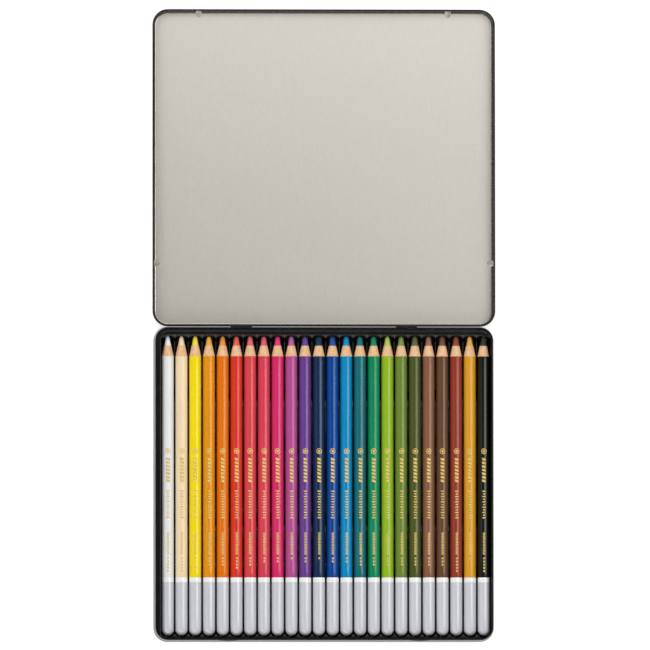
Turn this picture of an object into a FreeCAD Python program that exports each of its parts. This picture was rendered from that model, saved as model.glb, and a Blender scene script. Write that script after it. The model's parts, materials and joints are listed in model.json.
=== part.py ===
import FreeCAD, Part
import math
import os

from FreeCAD import Vector

# A flat hinged tin of pastel pencils, lying open on a table.
# Millimetres. The origin is the centre of the base tin's underside, +Z is up,
# +X runs along the row of pencils and +Y points from the tin's front to its hinge.
# The lid is turned right over, so that its outer panel lies on the table behind the base.

# Pencils: one round pencil for each colour, side by side in colour order
pencil_colours = (
    "white", "ivory", "lemon_yellow", "amber", "orange", "scarlet",
    "coral_red", "rose_red", "magenta", "orchid", "violet", "navy_blue",
    "ultramarine", "sky_blue", "teal", "emerald", "lime_green", "leaf_green",
    "olive", "sienna", "umber", "rust_red", "ochre", "black",
)
pencil_length = 175.0
pencil_diameter = 7.0
pencil_gap = 1.03             # between neighbouring barrels
core_diameter = 4.0
core_bare_length = 5.7        # sharpened core in front of the wood
core_tip_diameter = 2.1       # where the point starts to round off
core_tip_round_length = 0.75  # height of the worn, rounded point
wood_bare_length = 6.2        # sharpened wood in front of the lacquer
wood_front_edge = 0.12        # wood left round the core at the front of the cone
glue_gap = 0.03               # between the core and its bore
end_cover = 1.0               # dip lacquer behind the core
end_round_length = 3.3        # dipped end, rounded over
end_flat_diameter = 0.6       # flat left in the middle of the dipped end

# Tinplate, in the base and the lid alike
sheet = 0.3

# Base tin
base_corner_radius = 7.5
foot_flare = 1.0              # lower walls spread outwards, nearly flush with the shut lid
foot_height = 6.0             # flared part of the walls, below the shut lid's edge
floor_bend_radius = 0.3       # inside of the bend between the floor and the walls
hem_width = 0.6               # rim folded inwards, flat on itself
hem_depth = 1.6
hem_rounding = 0.25
rim_above_pencils = 2.1

# Snap beads pressed out of the base's front wall
snap_spacing = 112.0
snap_length = 15.0
snap_half_height = 1.1
snap_gap = 0.1                # left between a bead and the shut lid's wall

# Lid tin
lid_clearance = 0.6           # between the base's wall and the shut lid's wall
lid_bend_radius = 1.2         # inside of the bend between the panel and the walls
bead_radius = 0.45            # outward curl round the lid's edge, which is also the hinge rod
bead_inset = 0.05             # from the wall's inner face to the curl

# Stop darts stamped into the lid's bend, on which the base's rim stops when the tin is shut
dart_radius = 1.85
dart_reach = 0.9              # along the wall and along the panel to the dart's axis
dart_stop_gap = 0.1
front_dart_spacing = 146.0
side_dart_from_hinge = 37.0

# Hinges: tongues of the base's rear wall curled round the lid's edge, through windows in its wall
hinge_spacing = 96.6
hinge_window_width = 13.5
hinge_window_gap = 1.2        # above the curled tongue
knuckle_end_gap = 0.5         # between a tongue and each end of its window
knuckle_clearance = 0.05

# Moulded tray
tray_sheet = 0.3
tray_fit = 0.2                # all round, inside the base's rim
tray_below_rim = 0.8
tray_lift = 1.7               # hollow height under the grooves
groove_clearance = 0.2
ridge_drop = 0.3              # ridge tops below the pencils' axes
left_gap = 2.8                # from the first barrel to the tray's border
right_gap = 0.8               # from the last barrel to the tray's border
corner_gap = 0.1              # from the outer dipped ends to the border's rounded corners
tip_gap = 0.6                 # from the points to the scalloped wall behind them
shelf_width = 3.5             # shelf between that wall and the tray's rear edge
shelf_scallop_depth = 2.2
end_clearance = 1.55          # least room behind the dipped ends
ledge_scallop_depth = 3.5     # in the ledge behind the dipped ends
ledge_above_axes = 1.0
# Finger wells across the tray: distance from the points to the well, and its width
finger_wells = ((28.0, 14.0), (100.6, 14.0), (132.2, 16.4))

# Cutting tools run past the faces that they cut by this much
overshoot = 1.0

# Sizes that follow from the ones above
pencil_count = len(pencil_colours)
pencil_radius = pencil_diameter / 2
pencil_pitch = pencil_diameter + pencil_gap
core_radius = core_diameter / 2
bore_radius = core_radius + glue_gap
end_flat_radius = end_flat_diameter / 2
groove_radius = pencil_radius + groove_clearance

tray_inset = max(hem_width, sheet + floor_bend_radius) + tray_fit
tray_corner_radius = base_corner_radius - tray_inset
# The ledge's scalloped wall runs a quarter of its thickness into the border, where it is narrowest
ledge_width = 0.75 * tray_sheet

axis_z = sheet + tray_lift + tray_sheet + groove_radius
ridge_z = axis_z - ridge_drop
base_height = axis_z + pencil_radius + rim_above_pencils
tray_top = base_height - tray_below_rim

# Circle that rounds a dipped end over, tangent to the barrel
end_round_depth = pencil_radius - end_flat_radius
end_round_radius = (end_round_depth ** 2 + end_round_length ** 2) / (2 * end_round_depth)
end_round_angle = math.asin(min(1.0, end_round_length / end_round_radius))


def room_behind_ends(steps=16):
    """Gap from the dipped ends to the border that keeps the outer ones clear of its rounded corners."""
    corner = tray_corner_radius - tray_sheet
    room = ledge_width + end_clearance
    for step in range(steps + 1):
        angle = end_round_angle * step / steps
        outward = end_round_radius * (1 - math.cos(angle))
        along = end_round_length - end_round_radius * math.sin(angle)
        across = max(0.0, corner - min(left_gap, right_gap) - outward)
        reach = math.sqrt(max(0.0, (corner - corner_gap) ** 2 - across ** 2))
        room = max(room, corner - reach - along)
    return room


end_room = room_behind_ends()
row_width = (pencil_count - 1) * pencil_pitch + pencil_diameter
tray_width = tray_sheet + left_gap + row_width + right_gap + tray_sheet
tray_length = tray_sheet + end_room + pencil_length + tip_gap + shelf_width
base_width = tray_width + 2 * tray_inset
base_length = tray_length + 2 * tray_inset
rear_y = base_length / 2
end_y = -tray_length / 2 + tray_sheet + end_room
tip_y = end_y + pencil_length
first_x = -tray_width / 2 + tray_sheet + left_gap + pencil_radius

lid_inner_width = base_width + 2 * lid_clearance
lid_inner_length = base_length + 2 * lid_clearance
lid_inner_corner = base_corner_radius + lid_clearance
dart_depth = dart_reach + math.sqrt(2) * dart_radius - lid_clearance
closed_height = base_height + dart_depth + dart_stop_gap + sheet

# The hinge axis is half the shut tin's height up, so that the open lid lies as low as the base
hinge_z = closed_height / 2
hinge_y = rear_y + lid_clearance + bead_inset + bead_radius
knuckle_bore = bead_radius + knuckle_clearance
knuckle_radius = knuckle_bore + sheet


def pencil_places():
    """X of each pencil's axis, from the left."""
    return [first_x + number * pencil_pitch for number in range(pencil_count)]


def both_sides(spacing):
    return (-spacing / 2, spacing / 2)


def box(x_low, x_high, y_low, y_high, z_low, z_high):
    size = (x_high - x_low, y_high - y_low, z_high - z_low)
    return Part.makeBox(*size, Vector(x_low, y_low, z_low))


def round_bar(radius, start, end):
    return Part.makeCylinder(radius, (end - start).Length, start, end - start)


def chain(steps):
    """Edges through a list of points, where a (middle, end) pair is an arc."""
    at = steps[0]
    edges = []
    for step in steps[1:]:
        if isinstance(step, tuple):
            middle, end = step
            edges.append(Part.Arc(at, middle, end).toShape())
        else:
            end = step
            edges.append(Part.LineSegment(at, end).toShape())
        at = end
    return edges


def strip(first, second, along):
    """Solid swept straight along from the area between two chains of edges that run the same way."""
    starts = [edges[0].Vertexes[0].Point for edges in (first, second)]
    ends = [edges[-1].Vertexes[1].Point for edges in (first, second)]
    edges = first + chain(ends) + second + chain(starts)
    return Part.Face(Part.Wire(Part.__sortEdges__(edges))).extrude(along)


def rounded_outline(width, length, radius, z):
    """Closed rounded rectangle about the Z axis, starting up its right side."""
    x = width / 2
    y = length / 2
    bend = radius * (1 - math.sqrt(0.5))
    steps = [Vector(x, radius - y, z)]
    for side_x, side_y in ((1, 1), (-1, 1), (-1, -1), (1, -1)):
        on_side = Vector(side_x * x, side_y * (y - radius), z)
        on_end = Vector(side_x * (x - radius), side_y * y, z)
        middle = Vector(side_x * (x - bend), side_y * (y - bend), z)
        start, end = (on_side, on_end) if side_x == side_y else (on_end, on_side)
        steps += [start, (middle, end)]
    return Part.Wire(chain(steps))


def prism(width, length, radius, z_low, z_high):
    face = Part.Face(rounded_outline(width, length, radius, z_low))
    return face.extrude(Vector(0, 0, z_high - z_low))


def level_edges(shape, z):
    """Edges of a shape that lie flat at height z."""
    tolerance = 1e-6
    found = []
    for edge in shape.Edges:
        bounds = edge.BoundBox
        if abs(bounds.ZMin - z) < tolerance and abs(bounds.ZMax - z) < tolerance:
            found.append(edge)
    return found


def turned(steps, axis):
    """Solid turned about an axis through the origin from an outline whose ends it joins."""
    edges = chain(steps)
    closing = [edges[-1].Vertexes[1].Point, steps[0]]
    face = Part.Face(Part.Wire(edges + chain(closing)))
    return face.revolve(Vector(0, 0, 0), axis, 360)


def pencil_casing():
    """Wooden barrel with its cone, its core bore and its rounded dipped end, on the Y axis."""
    cone_front = tip_y - core_bare_length
    cone_back = cone_front - wood_bare_length
    round_start = end_y + end_round_length
    bore_end = end_y + end_cover
    half = end_round_angle / 2
    middle = Vector(
        pencil_radius - end_round_radius * (1 - math.cos(half)),
        round_start - end_round_radius * math.sin(half), 0,
    )
    return turned([
        Vector(bore_radius, cone_front, 0),
        Vector(bore_radius + wood_front_edge, cone_front, 0),
        Vector(pencil_radius, cone_back, 0),
        Vector(pencil_radius, round_start, 0),
        (middle, Vector(end_flat_radius, end_y, 0)),
        Vector(0, end_y, 0),
        Vector(0, bore_end, 0),
        Vector(bore_radius, bore_end, 0),
    ], Vector(0, 1, 0))


def pencil_core():
    """Pastel core with its blunt sharpened point, on the Y axis."""
    tip_radius = core_tip_diameter / 2
    height = core_tip_round_length
    ball = (tip_radius ** 2 + height ** 2) / (2 * height)
    half = math.asin(tip_radius / ball) / 2
    middle = Vector(ball * math.sin(half), tip_y - ball + ball * math.cos(half), 0)
    back = end_y + end_cover + glue_gap
    return turned([
        Vector(0, back, 0),
        Vector(core_radius, back, 0),
        Vector(core_radius, tip_y - core_bare_length, 0),
        Vector(tip_radius, tip_y - height, 0),
        (middle, Vector(0, tip_y, 0)),
    ], Vector(0, 1, 0))


def snap_barrel(x, shrink):
    """Barrel whose side stands out of the base's front wall as a snap bead."""
    proud = lid_clearance - snap_gap
    waist = (snap_half_height ** 2 + proud ** 2) / (2 * proud)
    height = (hinge_z + bead_radius + base_height - hem_depth) / 2
    end_radius = waist - proud - sheet / 2
    half = snap_length / 2
    barrel = turned([
        Vector(-half, 0, 0),
        Vector(-half, end_radius - shrink, 0),
        (Vector(0, waist - shrink, 0), Vector(half, end_radius - shrink, 0)),
        Vector(half, 0, 0),
    ], Vector(1, 0, 0))
    barrel.translate(Vector(x, -rear_y + waist - proud, height))
    return barrel


def add_snap_bead(tin, x):
    """Pressed bead: proud outside, hollow inside."""
    half = snap_length / 2 + overshoot
    outward = -rear_y - lid_clearance
    wall_middle = -rear_y + sheet / 2
    wall_inside = -rear_y + sheet
    outside = box(x - half, x + half, outward, wall_middle, 0, base_height)
    in_wall = box(x - half, x + half, outward, wall_inside, 0, base_height)
    tin = tin.fuse(snap_barrel(x, 0).common(outside))
    return tin.cut(snap_barrel(x, sheet).common(in_wall))


def add_knuckle(tin, x):
    """Tongue of the rear wall curled round the lid's edge."""
    half = hinge_window_width / 2 - knuckle_end_gap
    left = Vector(x - half, hinge_y, hinge_z)
    right = Vector(x + half, hinge_y, hinge_z)
    past = Vector(overshoot, 0, 0)
    tongue_end = hinge_y - knuckle_bore - sheet / 2
    tongue = box(
        left.x, right.x, rear_y - sheet / 2, tongue_end,
        hinge_z - sheet / 2, hinge_z + sheet / 2,
    )
    tin = tin.fuse([round_bar(knuckle_radius, left, right), tongue])
    return tin.cut(round_bar(knuckle_bore, left - past, right + past))


def flared_pan(inset, z_low, z_high, bend_radius):
    """Solid within the base's walls, drawn in from their outer face by inset, with a rounded lower bend."""
    spread = foot_flare * (1 - z_low / foot_height) - inset
    low = rounded_outline(
        base_width + 2 * spread, base_length + 2 * spread, base_corner_radius + spread, z_low,
    )
    size = (base_width - 2 * inset, base_length - 2 * inset, base_corner_radius - inset)
    foot = Part.makeLoft([low, rounded_outline(*size, foot_height)], True, True)
    pan = foot.fuse(prism(*size, foot_height, z_high)).removeSplitter()
    return pan.makeFillet(bend_radius, level_edges(pan, z_low))


def base_tin():
    hem_bottom = base_height - hem_depth
    outside = flared_pan(0, 0, base_height, floor_bend_radius + sheet)
    inside = flared_pan(sheet, sheet, hem_bottom, floor_bend_radius)
    mouth = prism(
        base_width - 2 * hem_width, base_length - 2 * hem_width, base_corner_radius - hem_width,
        hem_bottom - overshoot, base_height + overshoot,
    )
    tin = outside.cut(inside).cut(mouth)
    tin = tin.makeFillet(hem_rounding, level_edges(tin, base_height))
    for x in both_sides(snap_spacing):
        tin = add_snap_bead(tin, x)
    for x in both_sides(hinge_spacing):
        tin = add_knuckle(tin, x)
    return tin.removeSplitter()


def edge_bead():
    """Closed round bead along the lid's edge."""
    grow = 2 * (bead_inset + bead_radius)
    corner = lid_inner_corner + bead_inset + bead_radius
    path = rounded_outline(lid_inner_width + grow, lid_inner_length + grow, corner, hinge_z)
    first = path.Edges[0]
    start = first.Vertexes[0].Point
    ring = Part.Wire([Part.Circle(start, first.tangentAt(first.FirstParameter), bead_radius).toShape()])
    return path.makePipeShell([ring], True, False)


def add_dart(lid, corner, inward, room):
    """Half-round dart across the bend between a wall and the panel, hollow on the outside."""
    down = Vector(0, 0, -1)
    on_wall = corner + down * dart_reach
    on_panel = corner + inward * dart_reach
    slope = (on_panel - on_wall).normalize() * (2 * dart_radius + overshoot)
    rib = round_bar(dart_radius, on_wall - slope, on_panel + slope)
    hollow = round_bar(dart_radius - sheet, on_wall - slope, on_panel + slope)
    return lid.fuse(rib.common(room)).cut(hollow)


def lid_tin():
    """Lid, made as it sits on the shut tin and then turned over about the hinge."""
    panel = closed_height - sheet
    outside = prism(
        lid_inner_width + 2 * sheet, lid_inner_length + 2 * sheet, lid_inner_corner + sheet,
        hinge_z, closed_height,
    )
    outside = outside.makeFillet(lid_bend_radius + sheet, level_edges(outside, closed_height))
    inside = prism(
        lid_inner_width, lid_inner_length, lid_inner_corner, hinge_z - overshoot, panel,
    )
    inside = inside.makeFillet(lid_bend_radius, level_edges(inside, panel))
    lid = outside.cut(inside)

    rear_wall = lid_inner_length / 2
    window_top = hinge_z + knuckle_radius + hinge_window_gap
    half = hinge_window_width / 2
    for x in both_sides(hinge_spacing):
        lid = lid.cut(box(
            x - half, x + half, rear_wall - overshoot, rear_wall + overshoot,
            hinge_z - overshoot, window_top,
        ))
    lid = lid.fuse(edge_bead())

    half_width = lid_inner_width / 2
    half_length = lid_inner_length / 2
    skin = sheet / 2
    room = prism(
        lid_inner_width + 2 * skin, lid_inner_length + 2 * skin, lid_inner_corner + skin,
        hinge_z, panel + skin,
    )
    for x in both_sides(front_dart_spacing):
        lid = add_dart(lid, Vector(x, -half_length, panel), Vector(0, 1, 0), room)
    side_y = hinge_y - side_dart_from_hinge
    for side in (-1, 1):
        lid = add_dart(lid, Vector(side * half_width, side_y, panel), Vector(-side, 0, 0), room)

    lid = lid.removeSplitter()
    lid.rotate(Vector(0, hinge_y, hinge_z), Vector(1, 0, 0), 180)
    return lid


def groove_line(radius, level):
    """One face of the grooved sheet, from left to right past the tray's border, at y 0."""
    reach = min(math.sqrt(radius ** 2 - (axis_z - level) ** 2), pencil_pitch / 2)
    shoulder = axis_z - math.sqrt(radius ** 2 - reach ** 2)
    steps = [Vector(-base_width, 0, shoulder)]
    for number, x in enumerate(pencil_places()):
        if number == 0 or reach < pencil_pitch / 2:
            steps.append(Vector(x - reach, 0, shoulder))
        steps.append((Vector(x, 0, axis_z - radius), Vector(x + reach, 0, shoulder)))
    return chain(steps + [Vector(base_width, 0, shoulder)])


def scallop_line(apex_y, depth, facing, grow):
    """Scalloped line with an arc about each pencil, from left to right past the tray's border."""
    half_pitch = pencil_pitch / 2
    radius = (half_pitch ** 2 + depth ** 2) / (2 * depth)
    centre_y = apex_y - facing * radius
    radius += grow
    cusp_y = centre_y + facing * math.sqrt(radius ** 2 - half_pitch ** 2)
    steps = [Vector(-base_width, cusp_y, sheet), Vector(first_x - half_pitch, cusp_y, sheet)]
    for x in pencil_places():
        apex = Vector(x, centre_y + facing * radius, sheet)
        steps.append((apex, Vector(x + half_pitch, cusp_y, sheet)))
    return chain(steps + [Vector(base_width, cusp_y, sheet)])


def scalloped_end(apex_y, depth, facing, top):
    """Upright scalloped sheet and the flat sheet behind it, and all the room behind them."""
    front = scallop_line(apex_y, depth, facing, 0)
    middle = scallop_line(apex_y, depth, facing, tray_sheet / 2)
    back = scallop_line(apex_y, depth, facing, tray_sheet)
    outer_y = facing * base_length
    outer = chain([Vector(-base_width, outer_y, sheet), Vector(base_width, outer_y, sheet)])
    wall = strip(front, back, Vector(0, 0, top - sheet))
    flat = strip(front, outer, Vector(0, 0, tray_sheet))
    flat.translate(Vector(0, 0, top - tray_sheet - sheet))
    behind = strip(middle, outer, Vector(0, 0, top))
    return [wall, flat], behind


def pencil_tray():
    """Moulded sheet: a border, grooved cradles, finger wells, a shelf and a ledge past the row's ends."""
    outline = prism(tray_width, tray_length, tray_corner_radius, sheet, tray_top)
    border = outline.cut(prism(
        tray_width - 2 * tray_sheet, tray_length - 2 * tray_sheet, tray_corner_radius - tray_sheet,
        sheet - overshoot, tray_top + overshoot,
    ))
    in_border = prism(
        tray_width - tray_sheet, tray_length - tray_sheet, tray_corner_radius - tray_sheet / 2,
        sheet, tray_top,
    )
    shelf, behind_shelf = scalloped_end(tip_y + tip_gap, shelf_scallop_depth, 1, tray_top)
    ledge_y = end_y - end_room + ledge_width
    ledge_top = axis_z + ledge_above_axes
    ledge, behind_ledge = scalloped_end(ledge_y, ledge_scallop_depth, -1, ledge_top)

    upper = groove_line(groove_radius, ridge_z)
    lower = groove_line(groove_radius + tray_sheet, ridge_z - tray_sheet)
    bottom = chain([Vector(-base_width, 0, sheet), Vector(base_width, 0, sheet)])

    def crosswise(second, y_low, y_high):
        return strip(upper, second, Vector(0, y_high - y_low, 0)).translated(Vector(0, y_low, 0))

    cradles = []
    wells = []
    cradle_end = tray_length / 2
    for distance, width in finger_wells:
        well_end = tip_y - distance
        well_start = well_end - width
        cradles.append(crosswise(lower, well_end, cradle_end))
        wells.append(crosswise(bottom, well_end, well_end + tray_sheet))
        wells.append(crosswise(bottom, well_start - tray_sheet, well_start))
        wells.append(box(
            -base_width, base_width, well_start - tray_sheet / 2, well_end + tray_sheet / 2,
            sheet, sheet + tray_sheet,
        ))
        cradle_end = well_start
    cradles.append(crosswise(lower, -tray_length / 2, cradle_end))
    cradles = [cradle.cut([behind_shelf, behind_ledge]) for cradle in cradles]
    inside = [piece.common(in_border) for piece in shelf + ledge + cradles + wells]
    return border.fuse(inside).removeSplitter()


def write(name, shape):
    solid = shape.Solids[0]
    if len(shape.Solids) != 1 or not solid.isValid():
        raise ValueError(name + " is not one valid solid")
    solid.exportStep(os.path.join("parts", name + ".step"))
    print(name, "volume", round(solid.Volume, 3))


def main():
    os.makedirs("parts", exist_ok=True)
    write("base_tin", base_tin())
    write("lid_tin", lid_tin())
    write("pencil_tray", pencil_tray())
    casing = pencil_casing()
    core = pencil_core()
    for number, (colour, x) in enumerate(zip(pencil_colours, pencil_places()), start=1):
        name = "pencil_%02d_%s" % (number, colour)
        place = Vector(x, 0, axis_z)
        write(name + "_casing", casing.translated(place))
        write(name + "_core", core.translated(place))
    print("base", base_width, base_length, base_height, "lid inside", lid_inner_width, lid_inner_length)
    print("shut height", closed_height, "hinge axis", hinge_y, hinge_z)
    print("points at", tip_y, "ends at", end_y, "first axis at", first_x, axis_z)


main()
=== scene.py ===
import json
import math
import random
from collections import namedtuple
from contextlib import contextmanager

import bmesh
import bpy
from mathutils import Matrix, Vector


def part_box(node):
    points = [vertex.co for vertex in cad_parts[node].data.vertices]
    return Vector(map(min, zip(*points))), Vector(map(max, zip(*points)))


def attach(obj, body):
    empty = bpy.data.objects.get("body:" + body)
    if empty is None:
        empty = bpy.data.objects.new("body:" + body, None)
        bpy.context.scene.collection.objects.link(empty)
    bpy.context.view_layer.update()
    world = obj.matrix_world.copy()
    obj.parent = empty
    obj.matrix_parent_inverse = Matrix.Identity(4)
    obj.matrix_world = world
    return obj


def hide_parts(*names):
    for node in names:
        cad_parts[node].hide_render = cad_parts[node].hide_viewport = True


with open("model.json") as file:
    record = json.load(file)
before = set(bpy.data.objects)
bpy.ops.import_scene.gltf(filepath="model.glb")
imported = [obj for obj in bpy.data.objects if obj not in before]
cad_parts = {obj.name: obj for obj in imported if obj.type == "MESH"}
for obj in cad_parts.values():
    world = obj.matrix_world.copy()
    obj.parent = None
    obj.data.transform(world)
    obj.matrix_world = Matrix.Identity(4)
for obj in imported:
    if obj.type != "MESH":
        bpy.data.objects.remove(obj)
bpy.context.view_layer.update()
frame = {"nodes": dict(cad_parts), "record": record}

# An open tin of pastel pencils. Sizes are in millimetres, as in the solids, and meshes in metres.
MM = 0.001

# Pencils, measured back from the point
PENCIL_RADIUS = 3.5
PENCIL_LENGTH = 175.0
CORE_RADIUS = 2.0
BORE_RADIUS = 2.03
CORE_BARE = 5.7
CORE_TIP_RADIUS = 1.05
CORE_TIP_ROUND = 0.75
WOOD_BARE = 6.2
WOOD_FRONT_EDGE = 0.12
COAT = 0.05                # thickness of the lacquer where the cone cuts through it
RING_START = 141.2         # white ring in front of the dip
DIP_START = 144.0
END_COVER = 1.0
END_ROUND = 3.3
END_FLAT_RADIUS = 0.3
AXIS_Z = 6.0
PENCIL_PITCH = 8.03
BARREL_SEGMENTS = 48
CORE_SEGMENTS = 32

# Lacquer and pastel of each pencil
COLOURS = {
    "white": ("E8E8E6", "ECEDED"), "ivory": ("F3DBB5", "FBE4BF"), "lemon_yellow": ("F7DD02", "F6E341"),
    "amber": ("E29304", "E8AA44"), "orange": ("E37500", "E6903E"), "scarlet": ("D83624", "E46153"),
    "coral_red": ("D8424A", "E1676E"), "rose_red": ("D73E54", "DB5C6C"), "magenta": ("D62967", "DE3A78"),
    "orchid": ("B24D8F", "B55E9D"), "violet": ("693D8D", "674791"), "navy_blue": ("112C4E", "1D3C59"),
    "ultramarine": ("024494", "2553A1"), "sky_blue": ("0089BE", "0392C8"), "teal": ("116B73", "1C737A"),
    "emerald": ("018756", "0D8B61"), "lime_green": ("93B81F", "A9C250"), "leaf_green": ("6C852D", "79924B"),
    "olive": ("4B541E", "60653A"), "sienna": ("895A41", "996953"), "umber": ("66442B", "724F3E"),
    "rust_red": ("943827", "964833"), "ochre": ("D99C21", "DAA94D"), "black": ("161711", "363831"),
}
# Foil marks: where each kind starts, how many there are and their step along the pencil
SEAL_START = 67.4
BARS = (71.4, 7, 2.1)
TICKS = (90.4, 11, 1.55)
BEADS = (115.6, 8, 1.65)
DOTS_START = 130.0
DOT_STEP = 1.85
# Dots at the end of each pencil's foil marks
FOIL_DOTS = (5, 5, 5, 3, 3, 4, 3, 2, 2, 1, 2, 1, 2, 2, 3, 3, 3, 3, 3, 3, 3, 5, 1, 5)

# Tins: plate, corner and bend radius of their outsides, and the flare of the base's foot
SHEET = 0.3
BASE_CORNER = 7.5
BASE_BEND = 0.6
BASE_HEM = 1.6
FOOT_FLARE = 1.0
FOOT_HEIGHT = 6.0
LID_CORNER = 8.4
LID_BEND = 1.5
BEAD_PROUD = 0.65          # how far the lid's bead stands out of its wall
BEAD_WIDTH = 0.9

# Tray
TRAY_CORNER = 6.7
TRAY_SHEET = 0.3
TRAY_RIDGE = 5.7
GROOVE_RADIUS = 3.7
TIP_GAP = 0.2              # from the tips to the shelf's edge
SHELF_DROP = 0.5           # shelf below the tray's lip
SHELF_LIP = 1.3            # width of that lip at the rear
SHELF_SCALLOP = 1.7
LEDGE_WIDTH = 0.225
LEDGE_SCALLOP = 3.5
LEDGE_TOP_Z = 7.0
LEDGE_SLOPE = 0.6          # rise of the ledge towards the front
FORMED_SHEET = 0.24        # thickness of the formed sheet inside the border
# Finger wells: distance from the points, and width
WELLS = ((28.0, 14.0), (100.6, 14.0), (132.2, 16.4))

# Studio, in metres: place, target, width, height and radiance of each lamp
LAMPS = {
    "key": ((0.82, 0.075, 1.26), (0.0, 0.075, 0.0), 0.36, 1.05, 4.3),
    "front_left": ((-0.9, -0.85, 1.25), (0.0, 0.05, 0.0), 2.2, 1.1, 1.6),
    "front": ((0.1, -1.4, 0.85), (0.0, 0.05, 0.0), 2.0, 0.8, 1.1),
    "back": ((0.0, 0.5, 0.62), (0.0, 0.17, 0.0), 1.4, 0.4, 1.5),
}
# Room light: upward part of the direction, and level
ROOM = ((0.3, 0.5), (0.75, 0.28), (1.0, 0.1))
FLOOR_HALF = 40.0
FLOOR_GLOW = 0.6           # light that the floor shows to the camera on top of what falls on it

# Camera: distance in metres, lean of its line to the left and front, and the point it looks at in millimetres
CAMERA_DISTANCE = 8.0
CAMERA_LEAN = (0.04, 0.05)
CAMERA_TARGET = (0.652, 93.03, 6.0)
CAMERA_ROLL = -0.00075
CAMERA_LENS = 757.8


def millimetre_box(node):
    low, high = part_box(node)
    return low / MM, high / MM


TRAY_LOW, TRAY_HIGH = millimetre_box("pencil_tray")
BASE_LOW, BASE_HIGH = millimetre_box("base_tin")
LID_LOW, LID_HIGH = millimetre_box("lid_tin")
TIP_Y = millimetre_box("pencil_01_white_core")[1].y
WELL_FLOOR = TRAY_LOW.z + TRAY_SHEET


def linear(code):
    """Linear colour of a hex code."""
    values = [int(code[i:i + 2], 16) / 255 for i in (0, 2, 4)]
    values = [v / 12.92 if v <= 0.04045 else ((v + 0.055) / 1.055) ** 2.4 for v in values]
    return (*values, 1.0)


def scaled(colour, factor):
    """Lighter or darker colour of the same hue."""
    factor = min(factor, 1.0 / max(colour[:3]))
    return (*[v * factor for v in colour[:3]], 1.0)


# Materials

class Finish:
    """A material, its main shader and short calls that add nodes to it."""

    def __init__(self, name, **sockets):
        self.material = bpy.data.materials.new(name)
        self.material.use_nodes = True
        self.tree = self.material.node_tree
        self.shader = self.tree.nodes["Principled BSDF"]
        for socket, value in sockets.items():
            self.shader.inputs[socket.replace("_", " ")].default_value = value
        self.place = self.tree.nodes.new("ShaderNodeTexCoord").outputs["Object"]

    def link(self, source, target):
        self.tree.links.new(source, target)

    def feed(self, socket, source):
        self.link(source, self.shader.inputs[socket])

    def noise(self, stretch, detail=3.0, roughness=0.55, distortion=0.0):
        """Noise whose features per metre along X, Y and Z are given."""
        mapping = self.tree.nodes.new("ShaderNodeMapping")
        mapping.inputs["Scale"].default_value = stretch
        self.link(self.place, mapping.inputs["Vector"])
        noise = self.tree.nodes.new("ShaderNodeTexNoise")
        noise.inputs["Scale"].default_value = 1.0
        noise.inputs["Detail"].default_value = detail
        noise.inputs["Roughness"].default_value = roughness
        noise.inputs["Distortion"].default_value = distortion
        self.link(mapping.outputs["Vector"], noise.inputs["Vector"])
        return noise.outputs["Fac"]

    def ramp(self, source, *stops):
        """Colour ramp with (position, colour) stops; a number stands for a grey."""
        ramp = self.tree.nodes.new("ShaderNodeValToRGB")
        elements = ramp.color_ramp.elements
        while len(elements) < len(stops):
            elements.new(0.5)
        for element, (position, colour) in zip(elements, stops):
            element.position = position
            element.color = colour if isinstance(colour, tuple) else (colour, colour, colour, 1.0)
        self.link(source, ramp.inputs["Fac"])
        return ramp.outputs["Color"]

    def mix(self, factor, first, second, blend="MIX"):
        """Mixed colours; factor, first and second are sockets or plain values."""
        mix = self.tree.nodes.new("ShaderNodeMix")
        mix.data_type = "RGBA"
        mix.blend_type = blend
        ends = (mix.inputs["Factor"], mix.inputs[6], mix.inputs[7])
        for socket, value in zip(ends, (factor, first, second)):
            if isinstance(value, bpy.types.NodeSocket):
                self.link(value, socket)
            else:
                socket.default_value = value
        return mix.outputs[2]

    def math(self, operation, first, second):
        node = self.tree.nodes.new("ShaderNodeMath")
        node.operation = operation
        for socket, value in zip(node.inputs, (first, second)):
            if isinstance(value, bpy.types.NodeSocket):
                self.link(value, socket)
            else:
                socket.default_value = value
        return node.outputs["Value"]

    def axis(self, name):
        split = self.tree.nodes.new("ShaderNodeSeparateXYZ")
        self.link(self.place, split.inputs["Vector"])
        return split.outputs[name]

    def bump(self, height, strength, distance, under=None):
        bump = self.tree.nodes.new("ShaderNodeBump")
        bump.inputs["Strength"].default_value = strength
        bump.inputs["Distance"].default_value = distance
        self.link(height, bump.inputs["Height"])
        if under is not None:
            self.link(under, bump.inputs["Normal"])
        return bump.outputs["Normal"]


def lacquer(name, colour):
    """Pencil lacquer: smooth gloss, a little cloudy, drawn out along the barrel."""
    finish = Finish(name, Specular_IOR_Level=0.35)
    cloud = finish.noise((160, 40, 160), 2)
    peel = finish.noise((900, 30, 900), 2)
    finish.feed("Base Color", finish.ramp(cloud, (0.3, scaled(colour, 0.97)), (0.7, scaled(colour, 1.03))))
    finish.feed("Roughness", finish.ramp(peel, (0.3, 0.1), (0.7, 0.15)))
    finish.feed("Normal", finish.bump(peel, 0.02, 0.03 * MM))
    return finish.material


def pastel(name, colour):
    """Pressed chalk: matt, grainy and a little uneven; its grain is lifted above the chalk's colour as
    painted light for the points, which lie in shade.
    """
    finish = Finish(name, Specular_IOR_Level=0.2)
    grain = finish.noise((2600, 1800, 2600), 4, 0.7)
    cloud = finish.noise((500, 300, 500), 2)
    # The lighter grain tones (1.22 and 1.4 times the chalk) are partly grain and partly painted light that
    # makes up for the shade on the points in the tray
    tone = finish.ramp(grain, (0.35, colour), (0.5, scaled(colour, 1.22)), (0.7, scaled(colour, 1.4)))
    patches = finish.ramp(cloud, (0.4, 0.0), (0.75, 0.2))
    finish.feed("Base Color", finish.mix(patches, tone, colour))
    finish.feed("Roughness", finish.ramp(grain, (0.3, 0.98), (0.7, 0.82)))
    finish.feed("Normal", finish.bump(grain, 0.5, 0.12 * MM))
    return finish.material


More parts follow.
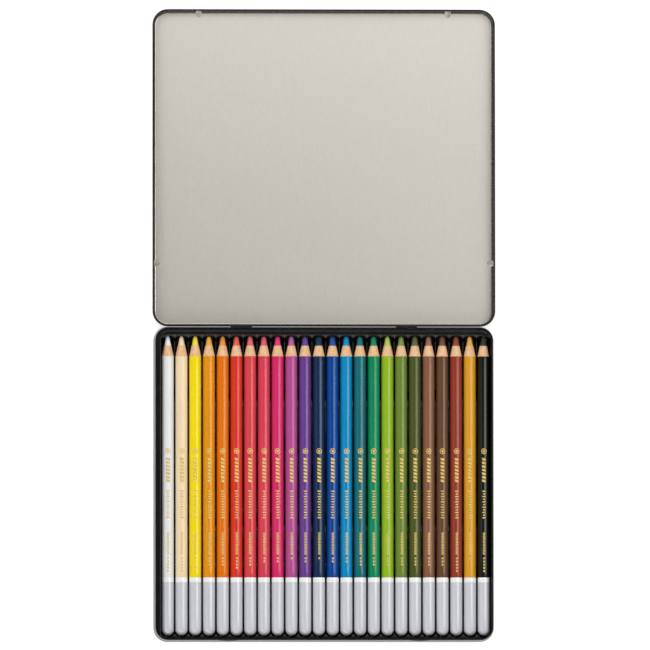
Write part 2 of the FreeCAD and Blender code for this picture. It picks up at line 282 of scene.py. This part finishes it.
def cut_wood():
    """Sharpened light wood with fine grain along the pencil."""
    finish = Finish("cut_wood", Specular_IOR_Level=0.3)
    grain = finish.noise((1500, 130, 1500), 5, 0.65, 0.4)
    pores = finish.noise((4200, 420, 4200), 2, 0.6)
    tone = finish.ramp(
        grain, (0.3, linear("DAA472")), (0.5, linear("F4C798")), (0.72, linear("FBDBB5")),
    )
    dark = finish.ramp(pores, (0.32, 0.5), (0.44, 0.0))
    finish.feed("Base Color", finish.mix(dark, tone, linear("CB9462")))
    finish.feed("Roughness", finish.ramp(grain, (0.3, 0.82), (0.7, 0.66)))
    finish.feed("Normal", finish.bump(pores, 0.3, 0.06 * MM, finish.bump(grain, 0.25, 0.08 * MM)))
    return finish.material


def dip_coat(name, colour):
    """Dipped enamel: smooth, with faint runs along the barrel."""
    finish = Finish(name, Specular_IOR_Level=1.0)
    runs = finish.noise((420, 30, 420), 3)
    speck = finish.noise((1400, 1400, 1400), 2)
    finish.feed("Base Color", finish.ramp(runs, (0.3, scaled(colour, 0.97)), (0.7, scaled(colour, 1.02))))
    finish.feed("Roughness", finish.ramp(speck, (0.3, 0.2), (0.7, 0.26)))
    finish.feed("Normal", finish.bump(speck, 0.03, 0.03 * MM))
    return finish.material


def gold_foil():
    """Hot-stamped foil with small worn spots."""
    finish = Finish("gold_foil", Metallic=0.3)
    worn = finish.noise((2400, 1500, 2400), 3, 0.6)
    tone = finish.ramp(worn, (0.3, linear("C99A3E")), (0.5, linear("EBCB6C")), (0.8, linear("F7E5A2")))
    finish.feed("Base Color", tone)
    finish.feed("Roughness", finish.ramp(worn, (0.3, 0.5), (0.7, 0.3)))
    finish.feed("Normal", finish.bump(worn, 0.1, 0.03 * MM))
    return finish.material


def black_tin():
    """Stoved black gloss on tinplate, rubbed a little along the rim."""
    finish = Finish("black_tin", Specular_IOR_Level=0.3)
    cloud = finish.noise((60, 60, 60), 3)
    scratch = finish.noise((2200, 90, 900), 3, 0.7)
    rubbed = finish.noise((900, 900, 2500), 4, 0.7)
    rim = finish.math("GREATER_THAN", finish.axis("Z"), (BASE_HIGH.z - 0.1) * MM)
    wear = finish.math("MULTIPLY", rim, finish.ramp(rubbed, (0.62, 0.0), (0.7, 0.3)))
    paint = finish.ramp(cloud, (0.3, linear("09090A")), (0.7, linear("121214")))
    finish.feed("Base Color", finish.mix(wear, paint, linear("5A5852")))
    finish.feed("Roughness", finish.ramp(scratch, (0.35, 0.12), (0.7, 0.22)))
    finish.feed("Normal", finish.bump(cloud, 0.04, 0.3 * MM, finish.bump(scratch, 0.03, 0.03 * MM)))
    return finish.material


def bare_tin():
    """Satin varnished tinplate with a fine grain and faint rolling marks along the tin."""
    finish = Finish("bare_tin", Metallic=0.72)
    rolled = finish.noise((2200, 260, 2200), 4, 0.7)
    mottle = finish.noise((900, 800, 900), 4, 0.7)
    cloud = finish.noise((14, 10, 14), 2)
    marks = finish.ramp(rolled, (0.3, linear("CECAC1")), (0.7, linear("D6D2C9")))
    spots = finish.ramp(mottle, (0.3, 0.96), (0.7, 1.0))
    finish.feed("Base Color", finish.mix(1.0, marks, spots, "MULTIPLY"))
    finish.feed("Roughness", finish.ramp(rolled, (0.3, 0.38), (0.7, 0.46)))
    grain = finish.bump(rolled, 0.05, 0.03 * MM)
    finish.feed("Normal", finish.bump(cloud, 0.04, 1.0 * MM, grain))
    return finish.material


def pressed_tin():
    """Tinplate burnished by the press, on the darts and at the foot of the bends."""
    finish = Finish("pressed_tin", Metallic=0.85)
    rubbed = finish.noise((1200, 1200, 1200), 3, 0.6)
    finish.feed("Base Color", finish.ramp(rubbed, (0.3, linear("D0CCC3")), (0.7, linear("DAD6CD"))))
    finish.feed("Roughness", finish.ramp(rubbed, (0.3, 0.2), (0.7, 0.28)))
    finish.feed("Normal", finish.bump(rubbed, 0.03, 0.03 * MM))
    return finish.material


def painted_shade_tin():
    """Painted shade: tinplate coloured dark brown to stand for the shadow on the walls and bends of a pan,
    with faint streaks up the wall.
    """
    finish = Finish("painted_shade_tin", Metallic=0.7)
    drawn = finish.noise((1500, 1500, 180), 4, 0.65)
    finish.feed("Base Color", finish.ramp(drawn, (0.3, linear("4A423B")), (0.7, linear("544B43"))))
    finish.feed("Roughness", finish.ramp(drawn, (0.3, 0.24), (0.7, 0.3)))
    finish.feed("Normal", finish.bump(drawn, 0.02, 0.03 * MM))
    return finish.material


def tray_plastic():
    """Vacuum-formed black plastic: glossy, faintly rippled."""
    finish = Finish("tray_plastic_formed", IOR=1.5)
    ripple = finish.noise((180, 120, 180), 3)
    dust = finish.noise((3000, 3000, 3000), 2, 0.6)
    finish.feed("Base Color", finish.ramp(dust, (0.5, linear("0B0B0C")), (0.8, linear("161618"))))
    finish.feed("Roughness", finish.ramp(ripple, (0.3, 0.16), (0.7, 0.28)))
    finish.feed("Normal", finish.bump(ripple, 0.06, 0.2 * MM))
    return finish.material


# Meshes

@contextmanager
def editing(mesh):
    """Editable copy of a mesh, written back at the end."""
    shape = bmesh.new()
    shape.from_mesh(mesh)
    yield shape
    shape.to_mesh(mesh)
    shape.free()


def new_piece(name, verts, faces, materials, face_materials=None, crease=35.0):
    """Mesh object from points in millimetres, shaded smooth except over sharp edges."""
    mesh = bpy.data.meshes.new(name)
    mesh.from_pydata([Vector(v) * MM for v in verts], [], faces)
    for material in materials:
        mesh.materials.append(material)
    if face_materials:
        mesh.polygons.foreach_set("material_index", face_materials)
    with editing(mesh) as shape:
        bmesh.ops.recalc_face_normals(shape, faces=shape.faces)
    shade_smooth(mesh, crease)
    return link_piece(name, mesh)


def link_piece(name, mesh):
    piece = bpy.data.objects.new(name, mesh)
    bpy.context.scene.collection.objects.link(piece)
    return piece


def shade_smooth(mesh, crease):
    mesh.polygons.foreach_set("use_smooth", [True] * len(mesh.polygons))
    mesh.set_sharp_from_angle(angle=math.radians(crease))


def lathe(rows, segments, centre, wobble=None):
    """Points and faces turned about a line along Y from (y, radius) rows, and the band of each face."""
    verts = []
    rings = []
    for y, radius in rows:
        count = segments if radius > 0 else 1
        rings.append(range(len(verts), len(verts) + count))
        for step in range(count):
            angle = 2 * math.pi * step / segments
            reach = radius * (1 + wobble(y, angle)) if wobble else radius
            verts.append((centre[0] + reach * math.sin(angle), y, centre[1] + reach * math.cos(angle)))
    faces = []
    bands = []
    for band, (one, two) in enumerate(zip(rings, rings[1:])):
        for step in range(segments):
            after = (step + 1) % segments
            around = ((one, step), (one, after), (two, after), (two, step))
            corners = [ring[place % len(ring)] for ring, place in around]
            faces.append(list(dict.fromkeys(corners)))
            bands.append(band)
    return verts, faces, bands


# Zones of a casing's surface, in the order of its materials
WOOD, LACQUER, RING, DIP = range(4)


def casing_rows(tip):
    """(y, radius, zone) rows of a casing from its bore out, along the barrel and into the bore's end."""
    cone_front = tip - CORE_BARE
    cone_back = cone_front - WOOD_BARE
    front_radius = BORE_RADIUS + WOOD_FRONT_EDGE
    cut_radius = PENCIL_RADIUS - COAT
    end = tip - PENCIL_LENGTH
    rows = [(cone_front, BORE_RADIUS, WOOD)]
    cone_steps = 6
    for step in range(cone_steps):
        share = step / cone_steps
        radius = front_radius + (cut_radius - front_radius) * share
        rows.append((cone_front - WOOD_BARE * share, radius, WOOD))
    rows += [
        (cone_back, cut_radius, LACQUER), (cone_back - 0.05, PENCIL_RADIUS - 0.01, LACQUER),
        (cone_back - 0.2, PENCIL_RADIUS, LACQUER),
    ]
    barrel_steps = 12
    barrel = RING_START - CORE_BARE - WOOD_BARE
    for step in range(1, barrel_steps):
        rows.append((cone_back - barrel * step / barrel_steps, PENCIL_RADIUS, LACQUER))
    coat = 0.02
    for start, zone in ((RING_START, RING), (DIP_START, DIP)):
        radius = PENCIL_RADIUS + coat * (zone - LACQUER)
        rows += [
            (tip - start, radius - coat, zone), (tip - start - 0.06, radius - coat / 3, zone),
            (tip - start - 0.2, radius, zone),
        ]
    rows += [(end + END_ROUND + 6, PENCIL_RADIUS + 2 * coat, DIP), (end + END_ROUND, PENCIL_RADIUS, DIP)]
    inward = PENCIL_RADIUS - END_FLAT_RADIUS
    ball = (inward ** 2 + END_ROUND ** 2) / (2 * inward)
    full = math.asin(min(1.0, END_ROUND / ball))
    round_steps = 10
    for step in range(1, round_steps + 1):
        angle = full * step / round_steps
        rows.append((
            end + END_ROUND - ball * math.sin(angle), PENCIL_RADIUS - ball * (1 - math.cos(angle)), DIP,
        ))
    rows += [(end, 0, DIP), (end + END_COVER, 0, WOOD), (end + END_COVER, BORE_RADIUS, WOOD)]
    rows.append((cone_front, BORE_RADIUS, WOOD))
    return rows


def make_casing(body, place, materials):
    x, tip = place
    rows = casing_rows(tip)
    verts, faces, bands = lathe([row[:2] for row in rows], BARREL_SEGMENTS, (x, AXIS_Z))
    piece = new_piece(body + "_barrel", verts, faces, materials, [rows[band][2] for band in bands])
    with editing(piece.data) as shape:
        bmesh.ops.remove_doubles(shape, verts=shape.verts, dist=0.0005 * MM)
    return piece


def make_core(body, place, material, seed):
    """Core with a slightly uneven, worn point."""
    x, tip = place
    rng = random.Random(seed)
    phases = [rng.uniform(0, 2 * math.pi) for _ in range(3)]
    bare = tip - CORE_BARE

    def wobble(y, angle):
        if y <= bare + 0.3:
            return 0.0
        share = (y - bare) / CORE_BARE
        lobes = math.sin(2 * angle + phases[0]) + 0.6 * math.sin(5 * angle + phases[1] + 2 * y)
        lobes += 0.5 * math.sin(3 * angle + phases[2] - 3 * y) - 2.1
        return 0.018 * share * lobes

    ball = (CORE_TIP_RADIUS ** 2 + CORE_TIP_ROUND ** 2) / (2 * CORE_TIP_ROUND)
    full = math.asin(CORE_TIP_RADIUS / ball)
    rows = [(tip, 0)]
    for step in range(1, 6):
        angle = full * step / 5
        rows.append((tip - ball * (1 - math.cos(angle)), ball * math.sin(angle)))
    cone = CORE_BARE - CORE_TIP_ROUND
    for step in range(1, 9):
        share = step / 8
        rows.append((
            tip - CORE_TIP_ROUND - cone * share, CORE_TIP_RADIUS + (CORE_RADIUS - CORE_TIP_RADIUS) * share,
        ))
    back = tip - PENCIL_LENGTH + END_COVER + BORE_RADIUS - CORE_RADIUS
    rows += [(back, CORE_RADIUS), (back, 0)]
    verts, faces, _ = lathe(rows, CORE_SEGMENTS, (x, AXIS_Z), wobble)
    return new_piece(body + "_pastel", verts, faces, [material])


def foil_marks(dots):
    """Plain stamped ornament as grids of (along, across) points: rings, bars and dots."""
    grids = []

    def bar(start, length, half_width, slant=0.0):
        across = [half_width * (step / 3 - 1) for step in range(7)]
        grids.append([[(along + slant * v, v) for v in across] for along in (start, start + length)])

    def ring(middle, radius, hole):
        turns = [2 * math.pi * step / 16 for step in range(17)]
        grids.append([
            [(middle + radius * share * math.cos(a), radius * share * math.sin(a)) for a in turns]
            for share in (1.0, (1 + hole) / 2, hole)
        ])

    def places(start, count, step):
        return [start + step * number for number in range(count)]

    ring(SEAL_START, 1.7, 0.74)
    ring(SEAL_START, 0.8, 0.1)
    for start in places(*BARS):
        bar(start, 1.45, 1.15, 0.25)
    for number, start in enumerate(places(*TICKS)):
        bar(start, 0.75, 0.65 if number % 2 else 1.0)
    for middle in places(*BEADS):
        ring(middle, 0.75, 0.4)
    for middle in places(DOTS_START, dots, DOT_STEP):
        ring(middle, 0.62, 0.1)
    return grids


def make_foil(body, place, material, dots, turn):
    """Thin stamped marks on the upper side of a barrel."""
    x, tip = place
    radius = PENCIL_RADIUS + 0.012
    verts = []
    faces = []
    for grid in foil_marks(dots):
        start = len(verts)
        width = len(grid[0])
        for row in grid:
            for along, across in row:
                angle = turn + across / PENCIL_RADIUS
                verts.append((x + radius * math.sin(angle), tip - along, AXIS_Z + radius * math.cos(angle)))
        for row in range(len(grid) - 1):
            for column in range(width - 1):
                corner = start + row * width + column
                faces.append((corner, corner + 1, corner + width + 1, corner + width))
    piece = new_piece(body + "_foil", verts, faces, [material])
    with editing(piece.data) as shape:
        bmesh.ops.remove_doubles(shape, verts=shape.verts, dist=0.001 * MM)
        for face in shape.faces:
            if face.normal.z < 0:
                face.normal_flip()
    shell = piece.modifiers.new("thickness", "SOLIDIFY")
    shell.thickness = 0.03 * MM
    shell.offset = -1
    return piece


# Outside of an open pan: half sizes of its walls, radii, middle in Y, and the flare of its foot
Pan = namedtuple("Pan", "half_x half_y corner bend middle_y flare flare_height")


def pan_distance(point, pan):
    """Signed distance in millimetres to the outside of a pan."""
    height = point.z / MM
    spread = pan.flare * max(0.0, 1 - height / pan.flare_height)
    x = abs(point.x / MM) - pan.half_x + pan.corner
    y = abs(point.y / MM - pan.middle_y) - pan.half_y + pan.corner
    wall = math.hypot(max(x, 0), max(y, 0)) + min(max(x, y), 0) - pan.corner - spread
    past_bend = math.hypot(max(wall + pan.bend, 0), max(pan.bend - height, 0))
    return past_bend + min(max(wall, -height) + pan.bend, 0) - pan.bend


# Materials of a tin, in order: painted outside and rim, bare panel, wall and bend in a dark tin colour that
# is painted shade, and what the press burnished, the darts and the foot of the bends
PAINT, PANEL, SHADED_WALL, PRESSED = range(4)
# Upward part of a face's normal, above which it is part of a bend's foot, and of the flat panel
FOOT_RISE = 0.95
FLAT_RISE = 0.998


def dress_pan(node, name, pan, black_from, materials):
    """Copy of a tin's mesh, bare on the faces that look into the pan below black_from and black elsewhere,
    with painted shade on the inner walls and bends.
    """
    mesh = frame["nodes"][node].data.copy()
    mesh.name = name
    mesh.materials.clear()
    for material in materials:
        mesh.materials.append(material)
    step = 0.05
    for face in mesh.polygons:
        distance = pan_distance(face.center, pan)
        ahead = face.center + face.normal * step * MM
        inward = pan_distance(ahead, pan) < distance - step / 5
        if not inward or face.center.z >= black_from * MM:
            face.material_index = PAINT
        # Inner walls and bends get a dark tin colour: painted shade where the walls shadow themselves
        elif distance > -1.5 * SHEET and face.normal.z < FOOT_RISE:
            face.material_index = SHADED_WALL
        else:
            face.material_index = PANEL if face.normal.z > FLAT_RISE else PRESSED
    piece = link_piece(name, mesh)
    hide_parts(node)
    return piece


def scallop(offset, depth):
    """How far a scalloped line stands off its apex, at an offset from a pencil's axis."""
    half_pitch = PENCIL_PITCH / 2
    radius = (half_pitch ** 2 + depth ** 2) / (2 * depth)
    offset = min(abs(offset), half_pitch)
    return radius - math.sqrt(radius ** 2 - offset ** 2)


# A line of points along the tray: heights in the cradles and in the wells, offset from the nearest pencil's
# axis, and the height of the lip at the tray's sides
Column = namedtuple("Column", "x groove well offset lip")


def tray_columns(axes):
    """Columns across the tray from left to right."""
    columns = []
    top = TRAY_HIGH.z
    edge_x = TRAY_HIGH.x - TRAY_SHEET / 2

    def side(axis, points):
        for x, z in points:
            on_lip = z > top - 1
            well = z if z > TRAY_RIDGE + 0.8 else WELL_FLOOR + max(0.0, z - TRAY_RIDGE)
            columns.append(Column(x, z, well, x - axis, z if on_lip else 0.0))

    left = axes[0] - GROOVE_RADIUS
    side(axes[0], [
        (-edge_x, top), (-edge_x + 0.6, top), (left - 0.74, top), (left - 0.66, top),
        (left - 0.58, top - 0.05), (left - 0.5, top - 0.25), (left - 0.47, top - 0.6),
        (left - 0.3, TRAY_RIDGE + 0.9), (left - 0.22, TRAY_RIDGE + 0.4), (left - 0.12, TRAY_RIDGE + 0.1),
        (left - 0.02, TRAY_RIDGE),
    ])
    arc = math.radians(80)
    reach = GROOVE_RADIUS * math.sin(arc)
    foot = AXIS_Z - GROOVE_RADIUS * math.cos(arc)
    half_pitch = PENCIL_PITCH / 2
    for number, axis in enumerate(axes):
        for step in range(13):
            angle = arc * (step / 6 - 1)
            offset = GROOVE_RADIUS * math.sin(angle)
            z = AXIS_Z - GROOVE_RADIUS * math.cos(angle)
            columns.append(Column(axis + offset, z, WELL_FLOOR, offset, 0.0))
        if number < len(axes) - 1:
            for angle in (150, 120, 90, 60, 30):
                offset = half_pitch + (half_pitch - reach) * math.cos(math.radians(angle))
                z = foot + (TRAY_RIDGE - foot) * math.sin(math.radians(angle))
                nearest = min(offset, PENCIL_PITCH - offset)
                columns.append(Column(axis + offset, z, WELL_FLOOR, nearest, 0.0))
    right = axes[-1] + GROOVE_RADIUS
    side(axes[-1], [
        (right + 0.02, TRAY_RIDGE), (right + 0.15, TRAY_RIDGE + 0.15), (right + 0.3, TRAY_RIDGE + 0.9),
        (right + 0.42, top - 0.6), (right + 0.5, top - 0.2), (edge_x - 0.1, top - 0.05), (edge_x, top),
    ])
    return columns


def tray_rows():
    """Functions that give a column's (y, z), for each row of points from the rear to the front."""
    rows = []
    top = TRAY_HIGH.z
    edge_y = TRAY_HIGH.y - TRAY_SHEET / 2
    step_y = TRAY_HIGH.y - SHELF_LIP
    shelf_y = TIP_Y + TIP_GAP
    shelf_z = top - SHELF_DROP
    ledge_y = TRAY_LOW.y + TRAY_SHEET + LEDGE_WIDTH

    def above_groove(column, rise):
        return column.groove if column.lip else column.groove + rise

    def level(y, z):
        rows.append(lambda column: (y, max(z, column.lip)))

    def shelf_edge(ahead, drop):
        rows.append(lambda column: (
            shelf_y - ahead - scallop(column.offset, SHELF_SCALLOP), max(shelf_z - drop, column.lip),
        ))

    def shelf_foot(ahead, depth, rise):
        rows.append(lambda column: (
            shelf_y - ahead - scallop(column.offset, depth), above_groove(column, rise),
        ))

    def well(y, share):
        rows.append(lambda column: (y, column.groove + (column.well - column.groove) * share))

    def ledge_foot(ahead, rise):
        rows.append(lambda column: (
            ledge_y + ahead + scallop(column.offset, LEDGE_SCALLOP), above_groove(column, rise),
        ))

    def ledge(share, drop):
        def place(column):
            start = ledge_y + scallop(column.offset, LEDGE_SCALLOP)
            y = start + (-edge_y - start) * share
            z = TRAY_RIDGE + LEDGE_SLOPE * (ledge_y + LEDGE_SCALLOP - y) - drop
            return y, max(min(z, LEDGE_TOP_Z - drop), column.lip, column.groove)
        rows.append(place)

    for y, z in (
        (edge_y, top), (step_y + 0.38, top), (step_y + 0.3, top), (step_y + 0.12, top - 0.06),
        (step_y, top - 0.25), (step_y - 0.12, shelf_z + 0.06), (step_y - 0.3, shelf_z),
        (shelf_y + 0.6, shelf_z), (shelf_y + 0.35, shelf_z - 0.05), (shelf_y + 0.2, shelf_z - 0.16),
    ):
        level(y, z)
    for ahead, drop in ((-0.08, 0.9), (-0.02, 1.05), (0.0, 1.4), (0.01, 2.0)):
        shelf_edge(ahead, drop)
    for ahead, depth, rise in ((0.06, 2.7, 1.2), (0.12, 3.0, 0.5), (0.3, 3.2, 0.12), (0.9, 3.2, 0.0)):
        shelf_foot(ahead, depth, rise)
    slope = ((0.5, 0.0), (0.18, 0.05), (0.05, 0.2), (-0.02, 0.75), (-0.12, 0.93), (-0.5, 1.0))
    for distance, width in WELLS:
        rear = TIP_Y - distance
        for past, share in slope:
            well(rear + past, share)
        for past, share in reversed(slope):
            well(rear - width - past, share)
    for ahead, rise in ((0.9, 0.0), (0.35, 0.1), (0.12, 0.35), (0.04, 0.8)):
        ledge_foot(ahead, rise)
    for share, drop in ((0.0, 0.3), (0.03, 0.1), (0.08, 0.02)):
        ledge(share, drop)
    for share in (0.2, 0.4, 0.6, 0.8, 1.0):
        ledge(share, 0)
    return rows


def in_tray(x, y):
    """Point of the tray's grid, rounded off at the rear corners and drawn in at the front ones."""
    middle_x = TRAY_HIGH.x - TRAY_CORNER
    middle_y = TRAY_HIGH.y - TRAY_CORNER
    across = abs(x) - middle_x
    along = abs(y) - middle_y
    if across <= 0 or along <= 0:
        return x, y
    reach = max(across, along) if y > 0 else min(TRAY_CORNER - TRAY_SHEET / 2, math.hypot(across, along))
    share = reach / math.hypot(across, along)
    return math.copysign(middle_x + across * share, x), math.copysign(middle_y + along * share, y)


def rounded_path(half_x, half_y, radius, per_corner=14):
    """Points round a rounded rectangle with their outward directions."""
    path = []
    for corner, (side_x, side_y) in enumerate(((1, 1), (-1, 1), (-1, -1), (1, -1))):
        for step in range(per_corner + 1):
            angle = math.pi / 2 * (corner + step / per_corner)
            out = Vector((math.cos(angle), math.sin(angle), 0))
            middle = Vector((side_x * (half_x - radius), side_y * (half_y - radius), 0))
            path.append((middle + out * radius, out))
    return path


def add_tray_border(shape):
    """Upright border of the tray with a rounded lip, added to a mesh in metres."""
    half = TRAY_SHEET / 2
    low = TRAY_LOW.z
    top = TRAY_HIGH.z
    profile = (
        (half, low), (half, top - 0.18), (0.7 * half, top - 0.07), (0.0, top), (-0.7 * half, top - 0.07),
        (-half, top - 0.18), (-half, low),
    )
    loops = []
    for point, out in rounded_path(TRAY_HIGH.x - half, TRAY_HIGH.y - half, TRAY_CORNER - half):
        loops.append([
            shape.verts.new((point + out * shift + Vector((0, 0, z))) * MM) for shift, z in profile
        ])
    for one, two in zip(loops, loops[1:] + loops[:1]):
        for step in range(len(profile)):
            after = (step + 1) % len(profile)
            shape.faces.new((one[step], two[step], two[after], one[after]))


def make_tray(axes, material):
    """Formed sheet with grooves, wells and scalloped ends, and the upright border round it."""
    columns = tray_columns(axes)
    rows = tray_rows()
    verts = []
    for row in rows:
        for column in columns:
            y, z = row(column)
            verts.append((*in_tray(column.x, y), z))
    width = len(columns)
    faces = []
    for row in range(len(rows) - 1):
        for column in range(width - 1):
            corner = row * width + column
            faces.append((corner, corner + width, corner + width + 1, corner + 1))
    piece = new_piece("pencil_tray_formed", verts, faces, [material])
    with editing(piece.data) as shape:
        if sum(face.normal.z * face.calc_area() for face in shape.faces) < 0:
            bmesh.ops.reverse_faces(shape, faces=shape.faces)
        below = bmesh.ops.duplicate(shape, geom=shape.verts[:] + shape.edges[:] + shape.faces[:])["geom"]
        shape.normal_update()
        for item in below:
            if isinstance(item, bmesh.types.BMVert):
                item.co -= item.normal * FORMED_SHEET * MM
                item.co.z = max(item.co.z, TRAY_LOW.z * MM)
        under_faces = [item for item in below if isinstance(item, bmesh.types.BMFace)]
        bmesh.ops.reverse_faces(shape, faces=under_faces)
        bmesh.ops.bridge_loops(shape, edges=[edge for edge in shape.edges if edge.is_boundary])
        add_tray_border(shape)
        shape.normal_update()
    shade_smooth(piece.data, 50)
    return piece


# The object

def add_pencils(bodies):
    """Barrel, core and foil of each pencil, and the pencils' axes."""
    wood = cut_wood()
    ring = dip_coat("white_ring", linear("F6F6F5"))
    dip = dip_coat("grey_dip", linear("CCCDD3"))
    foil = gold_foil()
    rng = random.Random(24)
    axes = []
    for number, body in enumerate(bodies):
        colour = body.split("_", 2)[2]
        paint, chalk = (linear(code) for code in COLOURS[colour])
        low, high = millimetre_box(body + "_core")
        place = ((low.x + high.x) / 2, high.y)
        axes.append(place[0])
        barrel = make_casing(body, place, [wood, lacquer("paint_" + colour, paint), ring, dip])
        core = make_core(body, place, pastel("chalk_" + colour, chalk), number)
        marks = make_foil(body, place, foil, FOIL_DOTS[number], rng.uniform(-0.06, 0.06))
        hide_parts(body + "_casing")
        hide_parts(body + "_core")
        for piece, slot in ((barrel, "lacquer_"), (core, "pastel_"), (marks, "lacquer_")):
            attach(piece, body)
    return axes


def add_tins():
    # The third material is painted shade for the inner walls and bends
    materials = [black_tin(), bare_tin(), painted_shade_tin(), pressed_tin()]
    base_pan = Pan(
        half_x=BASE_HIGH.x - FOOT_FLARE, half_y=-BASE_LOW.y - FOOT_FLARE, corner=BASE_CORNER, bend=BASE_BEND,
        middle_y=0.0, flare=FOOT_FLARE, flare_height=FOOT_HEIGHT,
    )
    base = dress_pan("base_tin", "base_tin_finished", base_pan, BASE_HIGH.z - BASE_HEM - 0.1, materials)
    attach(base, "base")
    lid_pan = Pan(
        half_x=LID_HIGH.x - BEAD_PROUD, half_y=(LID_HIGH.y - LID_LOW.y) / 2 - BEAD_PROUD, corner=LID_CORNER,
        bend=LID_BEND, middle_y=(LID_HIGH.y + LID_LOW.y) / 2, flare=0.0, flare_height=1.0,
    )
    lid = dress_pan("lid_tin", "lid_tin_finished", lid_pan, LID_HIGH.z - BEAD_WIDTH - 0.05, materials)
    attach(lid, "lid")


def add_tray(axes):
    tray = make_tray(axes, tray_plastic())
    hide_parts("pencil_tray")
    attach(tray, "tray")


# The studio

def add_floor():
    """Plain white floor, which also shows white to the camera and in reflections."""
    mesh = bpy.data.meshes.new("floor")
    signs = ((-1, -1), (1, -1), (1, 1), (-1, 1))
    mesh.from_pydata([(x * FLOOR_HALF, y * FLOOR_HALF, 0) for x, y in signs], [], [(0, 1, 2, 3)])
    floor = link_piece("floor", mesh)
    floor.location.z = -0.2 * MM
    finish = Finish("floor_white", Base_Color=(0.8, 0.8, 0.8, 1.0), Roughness=0.9, Specular_IOR_Level=0.0)
    path = finish.tree.nodes.new("ShaderNodeLightPath")
    seen = finish.math("MAXIMUM", path.outputs["Is Camera Ray"], path.outputs["Is Glossy Ray"])
    seen = finish.math("MAXIMUM", seen, path.outputs["Is Transmission Ray"])
    finish.shader.inputs["Emission Color"].default_value = (1, 1, 1, 1)
    finish.feed("Emission Strength", finish.math("MULTIPLY", seen, FLOOR_GLOW))
    mesh.materials.append(finish.material)


def add_softbox(name, place, target, width, height, radiance):
    """Area lamp that faces target and shows that radiance in reflections."""
    lamp = bpy.data.lights.new(name, "AREA")
    lamp.shape = "RECTANGLE"
    lamp.size = width
    lamp.size_y = height
    lamp.energy = math.pi * width * height * radiance
    holder = bpy.data.objects.new(name, lamp)
    holder.location = place
    holder.rotation_euler = (Vector(place) - Vector(target)).to_track_quat("Z", "Y").to_euler()
    holder.visible_camera = False
    bpy.context.scene.collection.objects.link(holder)


def add_world():
    """Soft room light, brighter towards the horizon than overhead."""
    world = bpy.data.worlds.new("studio")
    world.use_nodes = True
    tree = world.node_tree
    split = tree.nodes.new("ShaderNodeSeparateXYZ")
    tree.links.new(tree.nodes.new("ShaderNodeTexCoord").outputs["Generated"], split.inputs["Vector"])
    ramp = tree.nodes.new("ShaderNodeValToRGB")
    ramp.color_ramp.elements.new(0.75)
    for element, (height, level) in zip(ramp.color_ramp.elements, ROOM):
        element.position = height
        element.color = (level, level, level, 1.0)
    tree.links.new(split.outputs["Z"], ramp.inputs["Fac"])
    tree.links.new(ramp.outputs["Color"], tree.nodes["Background"].inputs["Color"])
    bpy.context.scene.world = world


def add_light():
    for name, lamp in LAMPS.items():
        add_softbox(name, *lamp)
    add_world()


def add_camera():
    """Long lens high above the tin, a little to its front and left."""
    data = bpy.data.cameras.new("camera")
    data.sensor_width = 36.0
    data.lens = CAMERA_LENS
    data.clip_start = 0.1
    data.clip_end = 100.0
    camera = bpy.data.objects.new("camera", data)
    back = Vector((-CAMERA_LEAN[0], -CAMERA_LEAN[1], 1.0)).normalized()
    target = Vector(CAMERA_TARGET) * MM
    right = Vector((0, 1, 0)).cross(back).normalized()
    turn = Matrix((right, back.cross(right), back)).transposed() @ Matrix.Rotation(CAMERA_ROLL, 3, "Z")
    camera.matrix_world = Matrix.Translation(target + back * CAMERA_DISTANCE) @ turn.to_4x4()
    bpy.context.scene.collection.objects.link(camera)
    bpy.context.scene.camera = camera


bodies = frame["record"]["behaviour"]["bodies"]
axes = add_pencils(sorted(name for name in bodies if name.startswith("pencil_")))
add_tins()
add_tray(axes)
add_floor()
add_light()
add_camera()
bpy.context.scene.view_settings.view_transform = "Standard"
